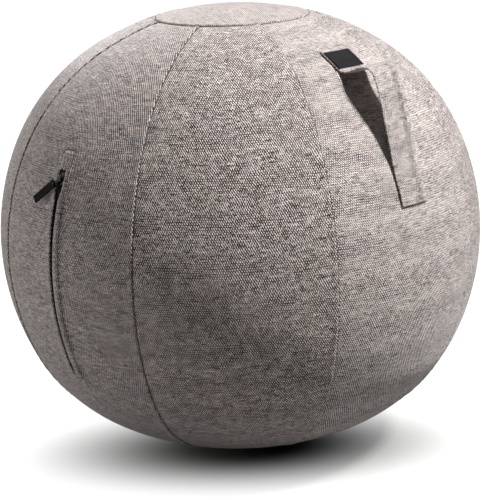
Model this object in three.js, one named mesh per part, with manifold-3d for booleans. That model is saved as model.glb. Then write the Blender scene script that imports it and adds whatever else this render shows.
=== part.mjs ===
// Balance ball chair: an inflated ball inside a sewn fabric cover that stands on a small flat base.
// Millimetres, +Z up. The origin is the centre of the base on the floor.
// The zip is at the front, -Y. The carry handle is on the right, +X.
import * as THREE from 'three';
import * as BufferGeometryUtils from 'three/addons/utils/BufferGeometryUtils.js';
import Module from 'manifold-3d';

const wasm = await Module();
wasm.setup();

const degree = Math.PI / 180;

// The cover's outline: a round belt, tighter shoulders above and below it, and shallow ends.
// The drops say how much lower the ends lie than those of a full round ball.
const ballRadius = 325;
const crownDrop = 20;
const baseDrop = 34;
const beltAngle = 25 * degree;
const upperShoulderInset = 55;
const lowerShoulderInset = 92;

// The sewing plan
const panelCount = 8;
const facetsPerPanel = 5;
const zipRowsPerFacet = 3;
const topDiscRadius = 102.5;
const baseRimHeight = 7.6;
const baseCornerRadius = 7;
const coverThickness = 3;
const seamDip = 1.4;
const seamShoulder = 7;
const seamTapeWidth = 16;
const tapeThickness = 1;
const gap = 0.3;

// The inner ball and its valve
const ballWall = 1.2;
const valveHoleRadius = 12.5;
const valveWeldRadius = 17;
const valveWeldThickness = 1.5;
const valveNeckRadius = 6.8;
const valveBoreRadius = 4.2;
const valveDepth = 14;
const plugHeadRadius = 8;
const plugHeadThickness = 1.2;

// The zip
const slotWidth = 5;
const parkWidth = 13.4;
const channelWidth = 18;
const placketWidth = 22;
const placketFoot = 28;
const placketRise = 2;
const lipThickness = 1.5;
const zipTop = 24.4 * degree;
const zipBottom = -23.8 * degree;
const parkLength = 24;
const placketLength = 15;
const coilWidth = 2.7;
const coilThickness = 2.1;
const coilSpacing = 1.8;
const zipTapeWidth = 16;
const zipTapeThickness = 0.6;
const sliderWidth = 12;
const sliderLength = 15;
const sliderPlate = 0.9;
const sliderFlange = 0.8;
const sliderPostWidth = 1.2;
const sliderPostLength = 4;
const stopLength = 3;

// The pull
const studRadius = 1.6;
const studCapRadius = 3;
const studCapThickness = 0.8;
const linkThickness = 1.2;
const linkEyeRadius = 4.2;
const linkNeckWidth = 4;
const linkReach = 12;
const pinRadius = 0.8;
const pinLength = 9.6;
const pinKnuckleRadius = 1.5;
const earRadius = 1.7;
const tabWidth = 10.5;
const tabLength = 36;
const tabThickness = 1.8;
const tabCorner = 1.6;
const pullTurn = 48 * degree;

// The carry handle
const strapWidth = 44;
const strapThickness = 3.5;
const archLift = 38;
const strapStart = 14.3 * degree;
const strapEnd = 60.4 * degree;
const labelStart = 53.6 * degree;
const labelEnd = 59.2 * degree;
const labelWidth = 42;
const labelThickness = 0.8;
const patchWidth = 60;

// Shares of the arch's greatest lift along the handle, each at an angle up the cover in degrees
const archShares = [
  [22, 0], [26, 0.03], [28.5, 0.13], [34.6, 0.43], [39.5, 0.73], [42.7, 0.93], [44.6, 1],
  [46.3, 0.95], [47.9, 0.75], [49.2, 0.45], [50.6, 0.16], [52.2, 0.02], [53.6, 0],
];

const crownHeight = ballRadius - crownDrop;
const baseDepth = ballRadius - baseDrop;
const panelAngle = 2 * Math.PI / panelCount;
const facetAngle = panelAngle / facetsPerPanel;

// One half of the outline: the belt's arc, the shoulder's arc and the end's arc run into each other
function halfOutline(height, inset) {
  const shoulderRadius = ballRadius - inset;
  const shoulder = { r: inset * Math.cos(beltAngle), z: inset * Math.sin(beltAngle) };
  const rise = (height - shoulder.z - shoulderRadius) / shoulder.r;
  const shoulderEnd = Math.PI / 2 - 2 * Math.atan(rise);
  const endRadius = shoulderRadius + shoulder.r / Math.cos(shoulderEnd);
  return { shoulder, shoulderRadius, shoulderEnd, endRadius, endCentre: height - endRadius };
}
const upper = halfOutline(crownHeight, upperShoulderInset);
const lower = halfOutline(baseDepth, lowerShoulderInset);

// The point of the outline whose outward normal rises by this angle, moved out along that normal
function outline(angle, out = 0) {
  const half = angle < 0 ? lower : upper;
  const up = Math.abs(angle);
  const arc = up <= beltAngle ? { r: 0, z: 0, radius: ballRadius }
    : up <= half.shoulderEnd ? { ...half.shoulder, radius: half.shoulderRadius }
    : { r: 0, z: half.endCentre, radius: half.endRadius };
  const r = arc.r + (arc.radius + out) * Math.cos(up);
  const z = arc.z + (arc.radius + out) * Math.sin(up);
  return { r, z: baseDepth + Math.sign(angle) * z };
}

// The place at a distance from the axis, in the direction turned from the front towards the right
function turnedPlace(turn, r, z) {
  return new THREE.Vector3(r * Math.sin(turn), -r * Math.cos(turn), z);
}

const discAngle = Math.acos(topDiscRadius / upper.endRadius);
const baseAngle = -Math.asin((lower.endRadius - baseRimHeight) / lower.endRadius);
const baseRadius = lower.endRadius * Math.cos(baseAngle);

// Levels of the cover's inside, the seam tapes and the ball, all measured out from the outline
const coverInside = -coverThickness;
const tapeOutside = coverInside - gap;
const tapeInside = tapeOutside - tapeThickness;
const ballOutside = tapeInside - gap;

// Multiples of a step from the bottom of the ball to its top
function evenRows(step) {
  const half = Math.round(Math.PI / 2 / step);
  return Array.from({ length: 2 * half + 1 }, (_, k) => (k - half) * step);
}

// The angles at which a piece round the ball has a row of points: its ends, rows of its own, and the
// even rows that all the pieces share, so that their facets lie in line
function rowsBetween(low, high, own = [], even = evenRows(facetAngle)) {
  const fixed = [low, high, ...own];
  const spare = facetAngle / 30;
  const shared = even.filter((angle) => angle > low && angle < high
    && fixed.every((other) => Math.abs(other - angle) > spare));
  return [...fixed, ...shared].sort((a, b) => a - b);
}

// A mesh with shared corners and no flat triangles, ready to be joined or cut
function mended(geometry) {
  geometry.deleteAttribute('normal');
  geometry.deleteAttribute('uv');
  const merged = BufferGeometryUtils.mergeVertices(geometry);
  const index = Array.from(merged.index.array);
  const kept = [];
  for (let i = 0; i < index.length; i += 3) {
    const [a, b, c] = index.slice(i, i + 3);
    if (a !== b && b !== c && c !== a) kept.push(a, b, c);
  }
  merged.setIndex(kept);
  return merged;
}

function solid(geometry) {
  const merged = mended(geometry);
  return new wasm.Manifold(new wasm.Mesh({
    numProp: 3,
    vertProperties: Float32Array.from(merged.attributes.position.array),
    triVerts: Uint32Array.from(merged.index.array),
  }));
}

function geometryOf(manifold) {
  const { vertProperties, triVerts, numProp } = manifold.getMesh();
  const geometry = new THREE.BufferGeometry();
  geometry.setAttribute('position', new THREE.BufferAttribute(vertProperties, numProp));
  geometry.setIndex(new THREE.BufferAttribute(triVerts, 1));
  return geometry;
}

// A closed sheet between two grids of points. Cells can be left out, which leaves a hole with walls.
function sheet(columns, rows, outside, inside, hasCell = () => true) {
  const points = [];
  for (const place of [outside, inside]) {
    for (let j = 0; j <= rows; j++) {
      for (let i = 0; i <= columns; i++) points.push(...place(i, j).toArray());
    }
  }
  const faces = [];
  const corner = (side, i, j) => (side * (rows + 1) + j) * (columns + 1) + i;
  const quad = (a, b, c, d) => faces.push(a, b, c, a, c, d);
  const filled = (i, j) => i >= 0 && j >= 0 && i < columns && j < rows && hasCell(i, j);
  for (let j = 0; j < rows; j++) {
    for (let i = 0; i < columns; i++) {
      if (!filled(i, j)) continue;
      const ring = [[i, j], [i + 1, j], [i + 1, j + 1], [i, j + 1]];
      const [a, b, c, d] = ring.map(([x, y]) => corner(0, x, y));
      const [e, f, g, h] = ring.map(([x, y]) => corner(1, x, y));
      quad(a, b, c, d);
      quad(e, h, g, f);
      if (!filled(i, j - 1)) quad(a, e, f, b);
      if (!filled(i + 1, j)) quad(b, f, g, c);
      if (!filled(i, j + 1)) quad(c, g, h, d);
      if (!filled(i - 1, j)) quad(d, h, e, a);
    }
  }
  const geometry = new THREE.BufferGeometry();
  geometry.setAttribute('position', new THREE.Float32BufferAttribute(points, 3));
  geometry.setIndex(faces);
  return mended(geometry.toNonIndexed());
}

// A full turn of a closed section about the upright axis, with its corners in line with the panels
function turned(section) {
  const points = section.map(({ r, z }) => new THREE.Vector2(r, z));
  const facets = panelCount * facetsPerPanel;
  return new THREE.LatheGeometry(points, facets, facetAngle / 2).rotateX(Math.PI / 2);
}

const group = new THREE.Group();
group.name = 'balance_ball_chair';

const fabric = new THREE.MeshStandardMaterial({ color: 0x9b918a, roughness: 0.95, metalness: 0 });
const baseFabric = new THREE.MeshStandardMaterial({ color: 0x2b2a2a, roughness: 0.9, metalness: 0 });
const tape = new THREE.MeshStandardMaterial({ color: 0x5a534e, roughness: 0.9, metalness: 0 });
const foam = new THREE.MeshStandardMaterial({ color: 0x3a3a3c, roughness: 0.95, metalness: 0 });
const bladder = new THREE.MeshStandardMaterial({ color: 0x8d9196, roughness: 0.45, metalness: 0 });
const valvePlastic = new THREE.MeshStandardMaterial({ color: 0xe4e2dc, roughness: 0.4, metalness: 0 });
const zipFabric = new THREE.MeshStandardMaterial({ color: 0x161616, roughness: 0.9, metalness: 0 });
const zipPlastic = new THREE.MeshStandardMaterial({ color: 0x111111, roughness: 0.5, metalness: 0 });
const zipMetal = new THREE.MeshStandardMaterial({ color: 0x1a1a1c, roughness: 0.35, metalness: 0.6 });
const labelFabric = new THREE.MeshStandardMaterial({ color: 0x0d0d0f, roughness: 0.8, metalness: 0 });

function addPiece(parent, name, geometry, material) {
  const mesh = new THREE.Mesh(geometry, material);
  mesh.name = name;
  parent.add(mesh);
  return mesh;
}

// The cover's panels: curved gores with their long edges drawn in at the seams
const halfPanel = panelAngle / 2;
const fromSeam = (distance) => (angle) => halfPanel - distance / outline(angle).r;
const fixedTurn = (turn) => () => turn;
const rightSide = [
  { turn: fixedTurn(halfPanel - 2 * facetAngle), dip: 0 },
  { turn: fixedTurn(halfPanel - facetAngle), dip: 0 },
  { turn: fromSeam(seamShoulder), dip: 0 },
  { turn: fromSeam(gap / 2), dip: seamDip },
];
const leftOf = ({ turn, ...rest }) => ({ ...rest, turn: (angle) => -turn(angle) });
const bothSides = (stations) => [...stations.map(leftOf).reverse(), ...stations];

function coverPanel(centre, stations, rows, outside, inside, hasCell) {
  const place = (level) => (i, j) => {
    const { r, z } = outline(rows[j], level(stations[i], rows[j]));
    return turnedPlace(centre + stations[i].turn(rows[j]), r, z);
  };
  return sheet(stations.length - 1, rows.length - 1, place(outside), place(inside), hasCell);
}

const panelTop = discAngle - gap / 2 / upper.endRadius;
const panelNames = [
  'zip_panel', 'front_right_panel', 'handle_panel', 'back_right_panel',
  'back_panel', 'back_left_panel', 'left_panel', 'front_left_panel',
];
const plainRows = rowsBetween(baseAngle, panelTop);
for (let k = 1; k < panelCount; k++) {
  const geometry = coverPanel(k * panelAngle, bothSides(rightSide), plainRows,
    (station) => -station.dip, () => coverInside);
  addPiece(group, panelNames[k], geometry, fabric);
}

// Places along the zip: a distance to the right of its line, kept the same all the way up the zip
const placketEnd = zipTop + placketLength / ballRadius;
const placketStart = zipBottom - placketLength / 3 / ballRadius;
const placketFade = (placketFoot - placketWidth) / 2 / ballRadius;
function zipTurn(across, angle) {
  const along = Math.min(placketEnd + placketFade, Math.max(placketStart - placketFade, angle));
  return across / outline(along).r;
}
function zipPlace(across, angle, out) {
  const { r, z } = outline(angle, out);
  return turnedPlace(zipTurn(across, angle), r, z);
}

// The zip panel has a raised placket with a slot, and a channel behind it in which the slider runs
const channelStart = zipBottom - gap / ballRadius * 6;
const channelEnd = zipTop + gap / ballRadius * 6;
const channelStep = coverThickness / 2 / ballRadius;
const parkStart = zipTop - parkLength / ballRadius;
const zipStation = (width, { raised = false, channel = false } = {}) => ({
  turn: (angle) => zipTurn(width / 2, angle), dip: 0, half: width / 2, raised, channel,
});
const zipSide = [
  zipStation(slotWidth, { raised: true, channel: true }),
  zipStation(parkWidth, { raised: true, channel: true }),
  zipStation(channelWidth, { raised: true, channel: true }),
  zipStation(placketWidth, { raised: true }),
  zipStation(placketFoot),
  ...rightSide,
];
const zipStations = bothSides(zipSide);
const alongZipOnly = (angle) => angle > zipBottom && angle < zipTop;
const zipRows = rowsBetween(baseAngle, panelTop, [
  placketStart - placketFade, placketStart, channelStart - channelStep, channelStart, zipBottom,
  parkStart, zipTop, channelEnd, channelEnd + channelStep, placketEnd, placketEnd + placketFade,
], [
  ...evenRows(facetAngle).filter((angle) => !alongZipOnly(angle)),
  ...evenRows(facetAngle / zipRowsPerFacet).filter(alongZipOnly),
]);
const isRaised = (station, angle) => station.raised && angle >= placketStart && angle <= placketEnd;
const inChannel = (station, angle) => station.channel && angle >= channelStart && angle <= channelEnd;
const outsideLevel = (station, angle) => (isRaised(station, angle) ? placketRise : -station.dip);
const channelInside = placketRise - lipThickness;
const insideLevel = (station, angle) => (inChannel(station, angle) ? channelInside : coverInside);
function hasZipCell(i, j) {
  const middle = (zipRows[j] + zipRows[j + 1]) / 2;
  if (middle < zipBottom || middle > zipTop) return true;
  const open = middle > parkStart ? parkWidth / 2 : slotWidth / 2;
  const [left, right] = [zipStations[i], zipStations[i + 1]];
  return !(left.half <= open && right.half <= open);
}
const zipPanel = coverPanel(0, zipStations, zipRows, outsideLevel, insideLevel, hasZipCell);
addPiece(group, panelNames[0], zipPanel, fabric);

// The round top panel: a shallow dome with its edge drawn in
const ringReach = seamTapeWidth / 2 / upper.endRadius;
const domeStart = discAngle + gap / 2 / upper.endRadius;
const domeShoulder = discAngle + seamShoulder / upper.endRadius;
const domeRows = rowsBetween(domeStart, Math.PI / 2, [discAngle + ringReach]);
const domeOutside = rowsBetween(domeStart, Math.PI / 2, [domeShoulder]);
const domeSection = [
  ...domeRows.map((angle) => outline(angle, coverInside)).reverse(),
  ...domeOutside.map((angle, k) => outline(angle, k === 0 ? -seamDip : 0)),
];
domeSection[0].r = 0;
domeSection[domeSection.length - 1].r = 0;
addPiece(group, 'top_panel', mended(turned(domeSection)), fabric);

// The base panel: a flat disc on the floor whose rim turns up to the panels
const baseRim = outline(baseAngle);
const cornerSteps = 4;
const rimCorner = (radius) => Array.from({ length: cornerSteps + 1 }, (_, k) => {
  const turn = k / cornerSteps * Math.PI / 2;
  const centre = baseRadius - baseCornerRadius;
  return { r: centre + radius * Math.sin(turn), z: baseCornerRadius - radius * Math.cos(turn) };
});
const baseTop = baseRim.z - gap;
const cornerOutside = rimCorner(baseCornerRadius);
const cornerInside = rimCorner(baseCornerRadius - coverThickness);
cornerOutside[cornerSteps].z = baseTop;
cornerInside[cornerSteps].z = baseTop;
const baseSection = [
  { r: 0, z: 0 }, ...cornerOutside, ...cornerInside.reverse(), { r: 0, z: coverThickness },
];
addPiece(group, 'base_panel', mended(turned(baseSection)), baseFabric);

// The base insert: a dished pad between the base panel and the ball
const insertRadius = baseRadius - coverThickness - gap * 2;
const insertFloor = coverThickness + gap;
const ballAbove = (r) => {
  const radius = lower.endRadius + ballOutside;
  return baseDepth - lower.endCentre - Math.sqrt(radius * radius - r * r) - gap;
};
const dishSteps = 4;
const dish = Array.from({ length: dishSteps + 1 }, (_, k) => {
  const r = insertRadius * (1 - k / dishSteps);
  return { r, z: ballAbove(r) };
});
const insertSection = [
  { r: 0, z: insertFloor },
  { r: baseRadius - baseCornerRadius - gap, z: insertFloor },
  { r: insertRadius, z: baseCornerRadius + gap },
  ...dish,
];
addPiece(group, 'base_insert', mended(turned(insertSection)), foam);

// The inner ball: a thin hollow shell with one hole for its valve, at the front behind the zip
const ballRows = evenRows(facetAngle);
function ballSolid(out) {
  const section = ballRows.map((angle) => outline(angle, out));
  section[0].r = 0;
  section[section.length - 1].r = 0;
  return solid(turned(section));
}
const valveFace = ballRadius + ballOutside - gap * 5;
const valveHole = new THREE.CylinderGeometry(valveHoleRadius, valveHoleRadius, ballRadius, 24)
  .translate(0, -ballRadius, baseDepth);
const innerBall = ballSolid(ballOutside)
  .subtract(ballSolid(ballOutside - ballWall))
  .subtract(solid(valveHole));
addPiece(group, 'inner_ball', mended(geometryOf(innerBall)), bladder);

// The valve: a seat welded behind the ball's wall, and a push-in plug that lies flush in it.
// A radius and a depth below the valve's outer face give each point.
const valveSteps = 24;
function valvePart(section) {
  const points = section.map(([r, depth]) => new THREE.Vector2(r, -depth));
  return mended(new THREE.LatheGeometry(points.reverse(), valveSteps)
    .rotateX(Math.PI).translate(0, -valveFace, baseDepth));
}
const seatRadius = valveHoleRadius - gap * 1.5;
const weldDepth = ballWall + gap * 4;
const weldEnd = weldDepth + valveWeldThickness;
const headSeat = plugHeadThickness + gap;
addPiece(group, 'valve_seat', valvePart([
  [plugHeadRadius + gap, 0], [seatRadius, 0], [seatRadius, weldDepth],
  [valveWeldRadius, weldDepth], [valveWeldRadius, weldEnd], [valveNeckRadius, weldEnd],
  [valveNeckRadius, valveDepth], [valveBoreRadius, valveDepth], [valveBoreRadius, headSeat],
  [plugHeadRadius + gap, headSeat], [plugHeadRadius + gap, 0],
]), valvePlastic);
const plugRadius = valveBoreRadius - gap;
const plugTip = plugRadius * 0.7;
addPiece(group, 'valve_plug', valvePart([
  [0, 0], [plugHeadRadius, 0], [plugHeadRadius, plugHeadThickness], [plugRadius, plugHeadThickness],
  [plugRadius, valveDepth - plugTip], [plugTip, valveDepth], [0, valveDepth],
]), valvePlastic);

// Seam tapes inside the upright seams, and one ring of tape inside the top panel's seam
const tapeRows = rowsBetween(
  baseAngle + gap * 6 / lower.endRadius,
  discAngle - ringReach - gap / upper.endRadius,
);
for (let k = 0; k < panelCount; k++) {
  const seam = (k + 0.5) * panelAngle;
  const place = (out) => (i, j) => {
    const { r, z } = outline(tapeRows[j], out);
    const across = (i - 0.5) * seamTapeWidth;
    return turnedPlace(seam + across / outline(tapeRows[j]).r, r, z);
  };
  const geometry = sheet(1, tapeRows.length - 1, place(tapeOutside), place(tapeInside));
  addPiece(group, `seam_tape_${k + 1}`, geometry, tape);
}
const ringSection = [
  outline(discAngle - ringReach, tapeOutside), outline(discAngle + ringReach, tapeOutside),
  outline(discAngle + ringReach, tapeInside), outline(discAngle - ringReach, tapeInside),
];
addPiece(group, 'top_seam_ring', mended(turned([...ringSection, ringSection[0]])), tape);

// The zip's chain: two tapes sewn behind the slot, and the two halves of the coil between them.
// The chain runs midway between the ball and the lips of the placket.
const sliderTop = channelInside - gap * 2;
const coilOutside = sliderTop - sliderPlate - gap;
const coilInside = coilOutside - coilThickness;
const sliderBottom = coilInside - gap * 2 - sliderPlate;
const chainMiddle = (coilOutside + coilInside) / 2;
const sewnMiddle = tapeOutside - zipTapeThickness / 2;
const coilHalf = coilSpacing / 2 + coilWidth;
const sewnFrom = channelWidth / 2;
const tapeColumns = [
  { across: coilHalf + gap, middle: chainMiddle },
  { across: (coilHalf + sewnFrom) / 2 + gap, middle: chainMiddle },
  { across: sewnFrom, middle: sewnMiddle },
  { across: zipTapeWidth, middle: sewnMiddle },
];
const stopAngle = stopLength / ballRadius;
const gapAngle = gap / ballRadius;
const coilTop = zipTop - stopAngle - gapAngle;
const coilBottom = zipBottom + stopAngle + gapAngle;
function alongZip(columns, low, high) {
  const rows = [low, ...zipRows.filter((angle) => angle > low && angle < high), high];
  const place = (key) => (i, j) => zipPlace(columns[i].across, rows[j], columns[i][key]);
  return sheet(columns.length - 1, rows.length - 1, place('outside'), place('inside'));
}
const flat = (across, outside, inside) => ({ across, outside, inside });
for (const [name, side] of [['left', -1], ['right', 1]]) {
  const ordered = (columns) => (side < 0
    ? columns.map((column) => ({ ...column, across: -column.across })).reverse()
    : columns);
  const tapes = ordered(tapeColumns.map(({ across, middle }) => (
    flat(across, middle + zipTapeThickness / 2, middle - zipTapeThickness / 2))));
  addPiece(group, `zip_tape_${name}`, alongZip(tapes, zipBottom, zipTop), zipFabric);
  const coils = ordered([
    flat(coilSpacing / 2, coilOutside, coilInside), flat(coilHalf, coilOutside, coilInside),
  ]);
  addPiece(group, `zip_coil_${name}`, alongZip(coils, coilBottom, coilTop), zipPlastic);
  const topStop = alongZip(coils, coilTop + gapAngle, zipTop);
  addPiece(group, `zip_top_stop_${name}`, topStop, zipMetal);
}
const wholeChain = [flat(-coilHalf, coilOutside, coilInside), flat(coilHalf, coilOutside, coilInside)];
const bottomStop = alongZip(wholeChain, zipBottom, coilBottom - gapAngle);
addPiece(group, 'zip_bottom_stop', bottomStop, zipMetal);

// The slider is made at the ball's centre with the zip straight ahead, and turned up to its place.
// Heights in it are distances from the ball's centre.
const height = (out) => ballRadius + out;
const sliderAngle = coilTop - (sliderLength / 2 + gap) / ballRadius;
const sliderGroup = new THREE.Group();
sliderGroup.position.z = baseDepth;
sliderGroup.rotation.x = -sliderAngle;
group.add(sliderGroup);

function roundedPlate(width, length, corner, holes = []) {
  const [x, y] = [width / 2, length / 2];
  const shape = new THREE.Shape();
  shape.moveTo(x, y - corner);
  shape.absarc(x - corner, y - corner, corner, 0, Math.PI / 2);
  shape.absarc(corner - x, y - corner, corner, Math.PI / 2, Math.PI);
  shape.absarc(corner - x, corner - y, corner, Math.PI, Math.PI * 3 / 2);
  shape.absarc(x - corner, corner - y, corner, Math.PI * 3 / 2, Math.PI * 2);
  shape.holes.push(...holes);
  return shape;
}
const cornerSegments = 4;
function upright(shape, low, high) {
  const settings = { depth: high - low, bevelEnabled: false, curveSegments: cornerSegments };
  return new THREE.ExtrudeGeometry(shape, settings).translate(0, 0, low).rotateX(Math.PI / 2);
}
function post(radius, low, high, segments = 20) {
  return new THREE.CylinderGeometry(radius, radius, high - low, segments)
    .translate(0, -(low + high) / 2, 0);
}
function block(width, length, low, high, across = 0, along = 0) {
  return new THREE.BoxGeometry(width, high - low, length).translate(across, -(low + high) / 2, along);
}
const joined = (parts) => parts.map(solid).reduce((whole, part) => whole.add(part));

const overlap = 0.1;
const plateTop = height(sliderTop);
const plateBottom = height(sliderBottom);
const linkBottom = height(placketRise) + gap;
const linkTop = linkBottom + linkThickness;
const capBottom = linkTop + gap;
const flangeAcross = sliderWidth / 2 - sliderFlange / 2;
const tapeTop = height(chainMiddle + zipTapeThickness / 2) + gap;
const tapeBottom = height(chainMiddle - zipTapeThickness / 2) - gap * 2;
const sliderShape = roundedPlate(sliderWidth, sliderLength, sliderWidth / 5);
const flangeLength = sliderLength * 0.6;
const slider = joined([
  upright(sliderShape, plateTop - sliderPlate, plateTop),
  upright(sliderShape, plateBottom, plateBottom + sliderPlate),
  block(sliderPostWidth, sliderPostLength, plateBottom + sliderPlate / 2, plateTop - sliderPlate / 2,
    0, (sliderLength - sliderPostLength) / 2),
  ...[-1, 1].flatMap((side) => [
    block(sliderFlange, flangeLength, tapeTop, plateTop - sliderPlate / 2, side * flangeAcross),
    block(sliderFlange, flangeLength, plateBottom + sliderPlate / 2, tapeBottom, side * flangeAcross),
  ]),
  post(studRadius, plateTop - sliderPlate / 2, capBottom + studCapThickness / 2),
  post(studCapRadius, capBottom, capBottom + studCapThickness),
]);
addPiece(sliderGroup, 'zip_slider', mended(geometryOf(slider)), zipMetal);

// The pull link turns round the slider's stud. Its far end carries the pin of the tab.
const linkGroup = new THREE.Group();
linkGroup.rotation.y = pullTurn;
sliderGroup.add(linkGroup);
const linkShape = new THREE.Shape();
const neckAngle = Math.asin(linkNeckWidth / 2 / linkEyeRadius);
linkShape.absarc(0, 0, linkEyeRadius, -Math.PI / 2 + neckAngle, Math.PI * 3 / 2 - neckAngle);
linkShape.lineTo(-linkNeckWidth / 2, -linkReach);
linkShape.lineTo(linkNeckWidth / 2, -linkReach);
linkShape.holes.push(new THREE.Path().absarc(0, 0, studRadius + gap, 0, Math.PI * 2, true));
const pinHeight = linkBottom + pinKnuckleRadius;
const linkSettings = { depth: linkThickness, bevelEnabled: false, curveSegments: 20 };
const linkPlate = new THREE.ExtrudeGeometry(linkShape, linkSettings)
  .translate(0, 0, linkBottom).rotateX(Math.PI / 2);
const crossPin = (radius, length, across = 0) => (
  new THREE.CylinderGeometry(radius, radius, length, 16).rotateZ(Math.PI / 2)
    .translate(across, -pinHeight, -linkReach));
const pullLink = joined([
  linkPlate, crossPin(pinKnuckleRadius, linkNeckWidth), crossPin(pinRadius, pinLength),
]);
addPiece(linkGroup, 'pull_link', mended(geometryOf(pullLink)), zipMetal);

// The pull tab hangs on the pin by two ears
const tabGroup = new THREE.Group();
linkGroup.add(tabGroup);
const earWidth = (tabWidth - linkNeckWidth) / 2 - gap;
const earAcross = (tabWidth - earWidth) / 2;
const tabTop = linkReach + pinKnuckleRadius + gap;
const tabPlate = upright(roundedPlate(tabWidth, tabLength, tabCorner), -tabThickness / 2, tabThickness / 2)
  .translate(0, -pinHeight, -tabTop - tabLength / 2);
const pullTab = joined([
  tabPlate,
  ...[-1, 1].flatMap((side) => [
    crossPin(earRadius, earWidth, side * earAcross),
    block(earWidth, earRadius * 2, pinHeight - tabThickness / 2, pinHeight + tabThickness / 2,
      side * earAcross, -linkReach - earRadius),
  ]),
]).subtract(solid(crossPin(pinRadius + gap, tabWidth + overlap)));
addPiece(tabGroup, 'pull_tab', mended(geometryOf(pullTab)), zipPlastic);

// The carry handle follows a line in the upright plane of its panel: along the cover, up in an arch,
// and back down to the cover under the label
const handleTurn = 2 * panelAngle;
const strapSeat = gap + strapThickness / 2;
const seatedStart = archShares[0][0] * degree;
const seatedEnd = archShares[archShares.length - 1][0] * degree;
const seatedSteps = 3;
const seated = (from, to) => Array.from({ length: seatedSteps }, (_, k) => (
  outline(from + (to - from) * k / seatedSteps, strapSeat)));
const strapLine = new THREE.CatmullRomCurve3([
  ...seated(strapStart, seatedStart),
  ...archShares.map(([angle, share]) => outline(angle * degree, strapSeat + share * archLift)),
  ...seated(strapEnd, seatedEnd).reverse(),
].map(({ r, z }) => new THREE.Vector3(r, 0, z)), false, 'centripetal');
const strapSteps = 38;
const acrossShares = [-1, -0.5, 0, 0.5, 1];
function strapPlace(width, out) {
  return (i, j) => {
    const at = j / strapSteps;
    const point = strapLine.getPoint(at);
    const along = strapLine.getTangent(at);
    const r = point.x + out * along.z;
    const across = acrossShares[i] * width / 2;
    const bow = r - Math.sqrt(r * r - across * across);
    return turnedPlace(handleTurn, r - bow, point.z - out * along.x)
      .add(turnedPlace(handleTurn + Math.PI / 2, across, 0));
  };
}
const strap = sheet(acrossShares.length - 1, strapSteps,
  strapPlace(strapWidth, strapThickness / 2), strapPlace(strapWidth, -strapThickness / 2));
addPiece(group, 'handle_strap', strap, fabric);

// The label is sewn over the strap's top end and bends with it
const labelInside = strapSeat + strapThickness / 2 + gap;
const labelRows = rowsBetween(labelStart, labelEnd, [(labelStart + labelEnd) / 2]);
const labelPlace = (out) => (i, j) => {
  const { r, z } = outline(labelRows[j], out);
  const across = acrossShares[i] * labelWidth / 2;
  const bow = r - Math.sqrt(r * r - across * across);
  return turnedPlace(handleTurn, r - bow, z).add(turnedPlace(handleTurn + Math.PI / 2, across, 0));
};
const label = sheet(acrossShares.length - 1, labelRows.length - 1,
  labelPlace(labelInside + labelThickness), labelPlace(labelInside));
addPiece(group, 'handle_label', label, labelFabric);

// The patches lie flat behind facets of the handle's panel, one row of them each
for (const [name, end] of [['lower', strapStart], ['upper', strapEnd]]) {
  const low = Math.floor(end / facetAngle) * facetAngle;
  const rows = [low, low + facetAngle];
  const place = (out) => (i, j) => {
    const { r, z } = outline(rows[j], out);
    const corner = facetAngle / 2;
    const edge = patchWidth / 2 / r;
    const edgeRadius = r * Math.cos(corner) / Math.cos(edge - facetAngle);
    return [
      turnedPlace(handleTurn - edge, edgeRadius, z), turnedPlace(handleTurn - corner, r, z),
      turnedPlace(handleTurn + corner, r, z), turnedPlace(handleTurn + edge, edgeRadius, z),
    ][i];
  };
  addPiece(group, `handle_patch_${name}`, sheet(3, 1, place(tapeOutside), place(tapeInside)), tape);
}

export default group;
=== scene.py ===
# Balance ball chair: an inflated ball in a sewn heather-twill cover, with a zip, a carry handle and a
# flat base. Metres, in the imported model's frame: +Z up, the zip towards -Y and the handle towards +X.
import math
import bpy
import numpy as np
from mathutils import Matrix, Vector


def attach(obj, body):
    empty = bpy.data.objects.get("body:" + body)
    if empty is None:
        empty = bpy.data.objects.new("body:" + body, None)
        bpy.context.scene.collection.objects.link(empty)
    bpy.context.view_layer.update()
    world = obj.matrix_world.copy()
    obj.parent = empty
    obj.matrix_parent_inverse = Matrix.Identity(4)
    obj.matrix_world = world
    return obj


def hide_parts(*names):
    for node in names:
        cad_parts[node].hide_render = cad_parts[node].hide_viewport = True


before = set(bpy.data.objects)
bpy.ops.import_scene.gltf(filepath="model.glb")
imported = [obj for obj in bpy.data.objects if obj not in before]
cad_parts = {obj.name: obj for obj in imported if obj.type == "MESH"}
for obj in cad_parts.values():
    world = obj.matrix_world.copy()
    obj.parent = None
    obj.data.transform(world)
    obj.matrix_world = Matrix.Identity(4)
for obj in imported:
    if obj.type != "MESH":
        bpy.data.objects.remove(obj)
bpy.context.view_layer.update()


# Camera
# It stands 2.4 m off, between the zip and the handle, and looks a little down on the ball.
# The photograph is 482 pixels wide, and the ball's middle is above the middle of the picture.
photo_width, photo_height = 482, 500
ball_middle = Vector((0, 0, 0.291))
camera_distance = 2.4375
camera_turn = math.radians(46.6)
camera_rise = math.radians(14.4)
camera_roll = math.radians(2.25)
focal_pixels = 1784.3
middle_pixel = (240.37, 227.3)
sensor_width = 36

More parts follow.
